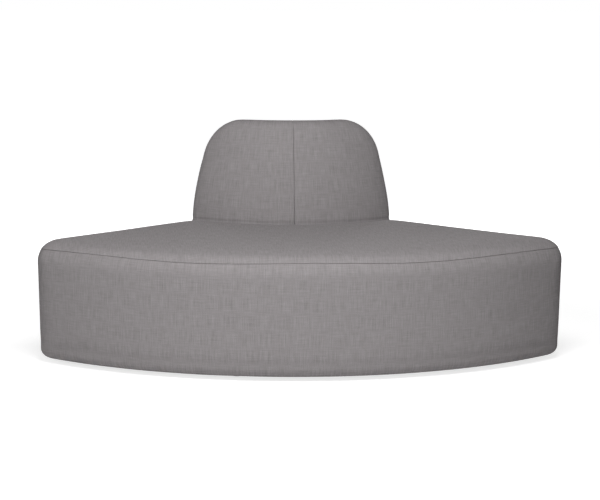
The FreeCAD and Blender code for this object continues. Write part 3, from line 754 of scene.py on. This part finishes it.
def make_back_rear():
    """The rear of the back, over its rim to the seam."""
    left, right = side_rims(-1), side_rims(1)
    steps = steps_for(2 * TOP_RUN)
    upper = [rim_corner(-1, turn) for turn in TURNS[HALF_TURN:]]
    upper += [rim_top(2 * step / steps - 1) for step in range(1, steps)]
    upper += [rim_corner(1, turn) for turn in reversed(TURNS[HALF_TURN:])]
    rims = left + upper[1:] + right[::-1][1:]
    rows = rim_grid(rims, False, 0)
    left_line, high, right_line = split_loop(rim_line(rows), len(left), len(upper))
    across = (high[:, 0] - high[0, 0]) / (high[-1, 0] - high[0, 0])
    flat = face_patch(left_line, right_line, high, across)
    return back_panel("back_rear_pad", rear_face, flat, rows, rims, REAR_PADDING, False)


# Softness and meshes

def new_object(name, data):
    """New object in the scene."""
    thing = bpy.data.objects.new(name, data)
    scene.collection.objects.link(thing)
    return thing


def border_edges(faces):
    """Edges that only one face has, in that face's direction."""
    edges = {(face[k], face[(k + 1) % 4]) for face in faces for k in range(4)}
    return [edge for edge in edges if (edge[1], edge[0]) not in edges]


def simulate(panels):
    """How far each point moves when the panels, held at their seams, swell."""
    points = np.vstack([panel.points for panel in panels])
    starts = np.cumsum([0] + [len(panel.points) for panel in panels])
    faces, borders = [], []
    for panel, start in zip(panels, starts):
        faces.append(np.array(panel.faces) + start)
        borders.append(np.array(border_edges(panel.faces)) + start)
    mesh = bpy.data.meshes.new("swelling")
    mesh.from_pydata(points.tolist(), [], np.vstack(faces).tolist())
    sheet = new_object("swelling", mesh)
    sheet.vertex_groups.new(name="held").add(np.unique(np.vstack(borders)).tolist(), 1.0, "REPLACE")
    cloth = sheet.modifiers.new("swelling", "CLOTH")
    settings = cloth.settings
    settings.vertex_group_mass = "held"
    settings.quality = CLOTH_QUALITY
    settings.mass = CLOTH_MASS
    settings.use_pressure = True
    settings.uniform_pressure_force = PRESSURE
    settings.effector_weights.gravity = 0.0
    cloth.collision_settings.use_collision = False
    cloth.point_cache.frame_start = 1
    cloth.point_cache.frame_end = SETTLE_FRAMES
    for step in range(1, SETTLE_FRAMES + 1):
        scene.frame_set(step)
    result = sheet.evaluated_get(bpy.context.evaluated_depsgraph_get()).data
    places = np.zeros(len(points) * 3)
    result.vertices.foreach_get("co", places)
    moved = places.reshape(-1, 3) - points
    bpy.data.objects.remove(sheet)
    bpy.data.meshes.remove(mesh)
    scene.frame_set(1)
    return [moved[start:stop] for start, stop in zip(starts[:-1], starts[1:])]


def above_foot(heights):
    """0 at the foot, where the base plate is close, rising to 1 above it."""
    return np.clip((heights - FOOT_LOW) / (FOOT_HIGH - FOOT_LOW), 0.0, 1.0)


def settled(panel, moved):
    """Movement eased to stay under a limit, and not inward at the foot."""
    size = norm(moved, axis=1, keepdims=True)
    moved = moved * PUFF_LIMIT / (PUFF_LIMIT + size)
    inward = np.minimum(np.sum(moved * panel.normals, axis=1), 0.0)
    held = (1 - above_foot(panel.points[:, 2])) * inward
    return moved - held[:, None] * panel.normals


def bell(distance, reach):
    """1 at no distance, falling away to both sides."""
    return np.exp(-(distance / reach) ** 2)


def seam_depth(panel):
    """How far the cover is rounded in beside a seam, less at the foot."""
    roll = BACK_SEAM_ROLL if panel.name.startswith("back") else SEAM_ROLL
    inside = np.clip(roll - panel.edge_distance, 0.0, roll)
    depth = roll - np.sqrt(np.maximum(roll ** 2 - inside ** 2, 0.0))
    return np.maximum(above_foot(panel.points[:, 2]), FOOT_ROLL_SHARE) * depth


def slack_at(panel):
    """Slight unevenness of hand-laid padding, which fades out at the seams."""
    waves = np.array([noise.noise(Vector(point) / SLACK_SIZE) for point in panel.points])
    return SLACK * waves * np.clip(panel.edge_distance / SLACK_FADE, 0.0, 1.0)


def seat_pull(points):
    """How far the seat top dips beside the back, with a crease away from the ends."""
    along, out = end_axes(1)
    plan = points - HUB
    plan[:, 0] = np.abs(plan[:, 0])
    distance, offset = plan @ along, plan @ out
    face = back_front_radius(points[:, 2])
    centre = np.sqrt((face - BACK_EDGE_ROUND) ** 2 - REAR_CORNER_OFFSET ** 2)
    round_clear = np.hypot(distance - centre, offset - REAR_CORNER_OFFSET) - BACK_EDGE_ROUND
    clear = np.where(offset < REAR_CORNER_OFFSET, np.hypot(distance, offset) - face, round_clear)
    clear = np.maximum(clear, 0.0)
    inland = np.clip((END_OFFSET - offset) / TOP_INSET, 0.0, 1.0) ** 2
    return TUCK * np.exp(-clear / TUCK_REACH) + CREASE * inland * np.exp(-clear / CREASE_REACH)


def front_roll(panel):
    """How far the cushion's fuller roll above the front seam stands out."""
    flat = panel.points - HUB
    front = np.hypot(flat[:, 0], flat[:, 1]) > (BACK_FOOT_RADIUS + OUTER_RADIUS) / 2
    inland = HALF_ANGLE - np.abs(np.arctan2(flat[:, 0], -flat[:, 1]))
    share = front * np.clip(inland / FRONT_ROLL_FADE, 0.0, 1.0)
    return FRONT_ROLL * share * bell(panel.edge_distance - FRONT_ROLL_PLACE, FRONT_ROLL_WIDTH)


def drawn_in(panel):
    """How far the cover is pulled in beside the back, at the foot and at the shoulders."""
    if panel.name == "seat_cushion":
        return seat_pull(panel.points)
    heights = panel.points[:, 2]
    if panel.name.startswith("seat"):
        return FOOT_TUCK * bell(heights - FOOT_TUCK_HEIGHT, FOOT_TUCK_REACH)
    rise = heights - SEAT_HEIGHT
    pull = TUCK * bell(rise, TUCK_REACH) + CREASE * bell(rise, CREASE_REACH)
    for side, turn, depth, reach in SHOULDERS:
        rim = rim_corner(side, turn)
        shoulder = rim.front_centre + BACK_EDGE_ROUND * rim.facing
        pull += depth * bell(norm(panel.points - shoulder, axis=1), reach)
    behind = back_front_radius(heights) - np.hypot(panel.points[:, 0], panel.points[:, 1] - HUB[1])
    return pull * eased(BACK_FADE - behind / BACK_EDGE_ROUND)


def make_piece(panel, moved, material):
    """Closed mesh of a panel and its padding."""
    depth = slack_at(panel) - drawn_in(panel) - seam_depth(panel)
    if panel.name == "seat_cushion":
        depth += front_roll(panel)
    outer = panel.points + settled(panel, moved) + depth[:, None] * panel.normals
    borders = border_edges(panel.faces)
    count = len(outer)
    layers, flat = [outer, panel.inner], [panel.flat, panel.flat]
    faces = list(panel.faces) + [tuple(corner + count for corner in reversed(face)) for face in panel.faces]
    halfway = {}
    if panel.middle is not None:
        corners = sorted({corner for edge in borders for corner in edge})
        halfway = {corner: 2 * count + place for place, corner in enumerate(corners)}
        layers.append(panel.middle[corners])
        flat.append(panel.flat[corners])
    for start, stop in borders:
        if halfway:
            faces.append((stop, start, halfway[start], halfway[stop]))
            faces.append((halfway[stop], halfway[start], start + count, stop + count))
        else:
            faces.append((stop, start, start + count, stop + count))
    piece = mesh_piece(panel.name, np.vstack(layers), faces, np.vstack(flat), material)
    if panel.name.startswith("back"):
        sharpen(piece.data, borders)
    return piece


def sharpen(mesh, edges):
    """Keeps seam edges from being rounded too far away by the smoothing."""
    sharp = {tuple(sorted(edge)) for edge in edges}
    values = [BACK_SEAM_SHARPNESS * (edge.key in sharp) for edge in mesh.edges]
    mesh.attributes.new("crease_edge", "FLOAT", "EDGE").data.foreach_set("value", values)


def mesh_piece(name, vertices, faces, flat, material):
    """Smooth object with the cover's flat places as its weave map."""
    mesh = bpy.data.meshes.new(name)
    mesh.from_pydata(vertices.tolist(), [], np.array(faces).tolist())
    weave = mesh.uv_layers.new(name="weave")
    weave.data.foreach_set("uv", flat[np.array(faces)].astype(np.float32).reshape(-1))
    mesh.polygons.foreach_set("use_smooth", [True] * len(mesh.polygons))
    mesh.materials.append(material)
    mesh.update()
    piece = new_object(name, mesh)
    smoothing = piece.modifiers.new("smoothing", "SUBSURF")
    smoothing.levels = 1
    smoothing.render_levels = 1
    return piece


# Finishes

class Shader:
    """Short hand for building the nodes of a material or of the surroundings."""

    def __init__(self, owner):
        owner.use_nodes = True
        self.owner = owner
        self.nodes = owner.node_tree.nodes
        self.links = owner.node_tree.links

    def put(self, socket, value):
        """Links a socket, or sets its value."""
        if isinstance(value, bpy.types.NodeSocket):
            self.links.new(value, socket)
        else:
            socket.default_value = value

    def fill(self, node, named):
        """Links or sets sockets by name."""
        for name, value in named.items():
            self.put(node.inputs[name.replace("_", " ")], value)

    def add(self, kind, *placed, operation=None, **named):
        """First output of a new node, with inputs linked or set in order or by name."""
        node = self.nodes.new(kind)
        if operation:
            node.operation = operation
        for socket, value in zip(node.inputs, placed):
            self.put(socket, value)
        self.fill(node, named)
        return node.outputs[0] if node.outputs else None

    def surface(self, **named):
        """The material, with sockets of its surface linked or set."""
        self.fill(self.nodes["Principled BSDF"], named)
        return self.owner

    def math(self, operation, *values):
        """One arithmetic step."""
        return self.add("ShaderNodeMath", *values, operation=operation)

    def weighted(self, start, *terms):
        """A start value and a sum of values, each times its weight."""
        total = start
        for value, weight in terms:
            total = self.math("MULTIPLY_ADD", value, weight, total)
        return total

    def place(self):
        """Place on the object itself."""
        return self.nodes.new("ShaderNodeTexCoord").outputs["Object"]

    def noise(self, place, sizes, detail=2.0):
        """Soft noise from 0 to 1, with its size along each axis."""
        scales = tuple(1 / size for size in sizes)
        scaled = self.add("ShaderNodeVectorMath", place, scales, operation="MULTIPLY")
        return self.add("ShaderNodeTexNoise", Vector=scaled, Scale=1.0, Detail=detail)

    def tinted(self, share, colour, tints):
        """Colour a share of the way from its darker to its lighter tint."""
        node = self.nodes.new("ShaderNodeMix")
        node.data_type = "RGBA"
        dark, light = (tuple(part * tint for part in colour) + (1.0,) for tint in tints)
        self.fill(node, {"Factor": share, "A": dark, "B": light})
        return node.outputs["Result"]

    def bump(self, height, depth, strength):
        """Surface direction from a height."""
        return self.add("ShaderNodeBump", Height=height, Distance=depth, Strength=strength)

    def choose(self, hidden, shown):
        """One shader for lighting, another where it is seen."""
        path = self.nodes.new("ShaderNodeLightPath").outputs
        seen = self.math("MAXIMUM", path["Is Camera Ray"], path["Is Glossy Ray"])
        seen = self.math("MAXIMUM", seen, path["Is Transmission Ray"])
        return self.add("ShaderNodeMixShader", seen, hidden, shown)


FABRIC_COLOUR = (0.270, 0.254, 0.257)
FABRIC_TINTS = (0.70, 1.30)
YARN = 0.0016
SLUB_LENGTH = 0.060
SLUB_WIDTH = 0.0030
MOTTLE = 0.022
ALONG_WEIGHT, ACROSS_WEIGHT = 1.2, 0.8
STREAK_WEIGHT, MOTTLE_WEIGHT, FIBRE_WEIGHT, WEAVE_WEIGHT = 0.75, 0.3, 0.5, 0.1
TINT_START = -0.65
WEAVE_HEIGHT = 0.25
FABRIC_DEPTH = 0.0004
GRAIN_DEPTH = 0.0003
STEEL_COLOUR = (0.55, 0.56, 0.58, 1.0)
STEEL_CLOUD = 0.004
STEEL_ROUGHNESS, STEEL_ROUGHNESS_RANGE = 0.28, 0.15
PLASTIC_COLOUR = (0.018, 0.018, 0.019, 1.0)
PLASTIC_GRAIN = 0.0012
PLASTIC_DEPTH = 0.0001


def fabric_material():
    """Matte woven cloth: fine yarns both ways, faint slubs along them and a soft mottling."""
    shade = Shader(bpy.data.materials.new("cover_fabric"))
    uv = shade.nodes.new("ShaderNodeUVMap")
    uv.uv_map = "weave"
    place = uv.outputs["UV"]
    parts = shade.nodes.new("ShaderNodeSeparateXYZ")
    shade.put(parts.inputs[0], place)
    waves = [shade.math("SINE", shade.math("MULTIPLY", parts.outputs[axis], 2 * pi / YARN))
             for axis in ("X", "Y")]
    weave = shade.math("MULTIPLY", *waves)
    along = shade.noise(place, (SLUB_WIDTH, SLUB_LENGTH, 1.0))
    across = shade.noise(place, (SLUB_LENGTH, SLUB_WIDTH, 1.0))
    mottle = shade.noise(place, (MOTTLE, MOTTLE, 1.0), detail=3.0)
    fibre = shade.noise(place, (YARN, YARN, 1.0), detail=1.0)
    streaks = shade.weighted(0.0, (along, ALONG_WEIGHT), (across, ACROSS_WEIGHT))
    share = shade.weighted(TINT_START, (streaks, STREAK_WEIGHT), (mottle, MOTTLE_WEIGHT),
                           (fibre, FIBRE_WEIGHT), (weave, WEAVE_WEIGHT))
    height = shade.weighted(streaks, (weave, WEAVE_HEIGHT))
    return shade.surface(Base_Color=shade.tinted(share, FABRIC_COLOUR, FABRIC_TINTS), Roughness=0.95,
                         Specular_IOR_Level=0.05, Normal=shade.bump(height, FABRIC_DEPTH, strength=0.6))


def grained_material(name, colour, sizes, detail, tints, roughness, relief):
    """Matte surface with a grain that tints it and stands out a little."""
    shade = Shader(bpy.data.materials.new(name))
    grain = shade.noise(shade.place(), sizes, detail)
    return shade.surface(Base_Color=shade.tinted(grain, colour, tints), Roughness=roughness,
                         Normal=shade.bump(grain, GRAIN_DEPTH, relief))


def plywood_material(name, colour):
    """Pale veneer with a long grain."""
    return grained_material(name, colour, sizes=(0.25, 0.006, 0.02), detail=4.0, tints=(0.75, 1.2),
                            roughness=0.6, relief=0.4)


def cloth_material(name, colour, yarn):
    """Plain thin cloth or webbing with a visible thread."""
    return grained_material(name, colour, sizes=(yarn, yarn, yarn), detail=2.0, tints=(0.7, 1.3),
                            roughness=0.9, relief=0.5)


def steel_material():
    """Zinc-plated steel."""
    shade = Shader(bpy.data.materials.new("steel"))
    cloud = shade.noise(shade.place(), (STEEL_CLOUD, STEEL_CLOUD, STEEL_CLOUD))
    roughness = shade.weighted(STEEL_ROUGHNESS, (cloud, STEEL_ROUGHNESS_RANGE))
    return shade.surface(Base_Color=STEEL_COLOUR, Metallic=1.0, Roughness=roughness)


def plastic_material():
    """Black moulded plastic with a fine grain."""
    shade = Shader(bpy.data.materials.new("glide_plastic"))
    grain = shade.noise(shade.place(), (PLASTIC_GRAIN, PLASTIC_GRAIN, PLASTIC_GRAIN))
    return shade.surface(Base_Color=PLASTIC_COLOUR, Roughness=0.5,
                         Normal=shade.bump(grain, PLASTIC_DEPTH, strength=0.4))


def finish_frame():
    """Gives every CAD node a finish by how its name ends, or else plywood."""
    plywood = plywood_material("plywood", (0.56, 0.42, 0.27))
    bent = plywood_material("bending_plywood", (0.50, 0.36, 0.22))
    steel = steel_material()
    plastic = plastic_material()
    webbing = cloth_material("webbing", (0.10, 0.09, 0.08), yarn=0.002)
    dust = cloth_material("dust_cloth", (0.03, 0.03, 0.032), yarn=0.0012)
    endings = {"_glide": plastic, "_screws": steel, "_inserts": steel, "_radial": webbing, "_cross": webbing,
               "dust_cover": dust, "_board": bent, "_panel": bent}
    for name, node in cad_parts.items():
        fitting = [material for ending, material in endings.items() if name.endswith(ending)]
        node.data.materials.clear()
        node.data.materials.append((fitting + [plywood])[0])


# Studio

CAMERA_PLACE = (-0.5184, -7.1615, 1.4474)
CAMERA_PITCH = radians(8.5256)
CAMERA_YAW = radians(4.1647)
CAMERA_ROLL = radians(0.4143)
CAMERA_LENS = 120.64

WHITE = (1.0, 1.0, 1.0, 1.0)
FLOOR_SIZE = 80.0
FLOOR_COLOUR = (0.8, 0.8, 0.8, 1.0)
FLOOR_SHOWN_COLOUR = (0.5, 0.5, 0.5, 1.0)
FLOOR_GLOW = 0.74
FLOOR_GLOW_REACH = (1.4, 3.5)
AMBIENT = 0.02
SURROUNDINGS = 1.0

# Soft square lamps, each with its place, size and power, and the point they face
LAMPS = {
    "front": ((-0.8, -5.2, 1.2), 3.0, 67.0),
    "top": ((0.0, -2.2, 3.0), 1.6, 96.0),
    "side": ((-3.6, -1.2, 1.8), 1.6, 21.0),
    "rear_left": ((-1.6, 3.6, 0.55), 1.0, 48.0),
    "rear_right": ((1.6, 3.6, 0.55), 1.0, 48.0),
}
LAMP_TARGET = Vector((0.0, -0.1, 0.35))


def make_camera():
    """Camera that stands where the photograph was taken from."""
    data = bpy.data.cameras.new("camera")
    data.lens = CAMERA_LENS
    camera = new_object("camera", data)
    camera.matrix_world = (Matrix.Translation(CAMERA_PLACE) @ Matrix.Rotation(-CAMERA_YAW, 4, "Z")
                           @ Matrix.Rotation(pi / 2 - CAMERA_PITCH, 4, "X")
                           @ Matrix.Rotation(CAMERA_ROLL, 4, "Z"))
    scene.camera = camera


def make_floor():
    """Wide pale floor, which glows where it is seen so that only shade shows on it."""
    shade = Shader(bpy.data.materials.new("floor"))
    shade.nodes.clear()
    reach = shade.nodes.new("ShaderNodeVectorMath")
    reach.operation = "LENGTH"
    shade.put(reach.inputs[0], shade.place())
    level = shade.add("ShaderNodeMapRange", reach.outputs["Value"], *FLOOR_GLOW_REACH, FLOOR_GLOW)
    glow = shade.add("ShaderNodeEmission", Strength=level)
    plain = shade.add("ShaderNodeBsdfDiffuse", FLOOR_COLOUR)
    shown = shade.add("ShaderNodeBsdfDiffuse", FLOOR_SHOWN_COLOUR)
    both = shade.add("ShaderNodeAddShader", shown, glow)
    shade.add("ShaderNodeOutputMaterial", shade.choose(plain, both))
    half = FLOOR_SIZE / 2
    mesh = bpy.data.meshes.new("floor")
    corners = [(-half, -half, 0), (half, -half, 0), (half, half, 0), (-half, half, 0)]
    mesh.from_pydata(corners, [], [(0, 1, 2, 3)])
    mesh.materials.append(shade.owner)
    floor = new_object("floor", mesh)


def make_world():
    """White surroundings for the eye, a soft grey light for the object."""
    shade = Shader(bpy.data.worlds.new("studio"))
    shade.nodes.clear()
    light = shade.add("ShaderNodeBackground", WHITE, AMBIENT)
    white = shade.add("ShaderNodeBackground", WHITE, SURROUNDINGS)
    shade.add("ShaderNodeOutputWorld", shade.choose(light, white))
    scene.world = shade.owner


def make_lamp(name, place, size, power):
    """Soft square lamp that points at the sofa."""
    data = bpy.data.lights.new(name, "AREA")
    data.shape = "SQUARE"
    data.size = size
    data.energy = power
    lamp = new_object(name, data)
    lamp.location = place
    lamp.rotation_euler = (LAMP_TARGET - Vector(place)).to_track_quat("-Z", "Y").to_euler()


def make_studio():
    """Camera, floor, surroundings and lamps."""
    make_camera()
    make_floor()
    make_world()
    for name, (place, size, power) in LAMPS.items():
        make_lamp(name, place, size, power)
    scene.view_settings.view_transform = "Standard"


# Assembly

STANDS_FOR = {
    "seat_cushion": ("seat_top_cover", "seat_foam_topper", "seat_foam_core"),
    "seat_front_pad": ("seat_front_cover", "front_foam"),
    "seat_left_end_pad": ("seat_left_end_cover", "left_end_foam"),
    "seat_right_end_pad": ("seat_right_end_cover", "right_end_foam"),
    "seat_rear_pad": ("seat_rear_cover", "seat_rear_foam"),
    "back_front_left_pad": ("back_front_left_cover", "back_front_foam"),
    "back_front_right_pad": ("back_front_right_cover", "back_front_foam"),
    "back_rear_pad": ("back_rear_cover", "back_rear_foam"),
}


def make_upholstery():
    """All the padded pieces, swollen and sewn."""
    back_left = make_back_front_left()
    panels = [make_seat_top(), make_seat_front(), make_seat_end(-1, "seat_left_end_pad"),
              make_seat_end(1, "seat_right_end_pad"), make_seat_rear(), back_left,
              mirrored(back_left, "back_front_right_pad"), make_back_rear()]
    moves = simulate(panels)
    fabric = fabric_material()
    for panel, moved in zip(panels, moves):
        piece = make_piece(panel, moved, fabric)
        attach(piece, "root")
        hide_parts(*STANDS_FOR[panel.name])


finish_frame()
make_upholstery()
make_studio()
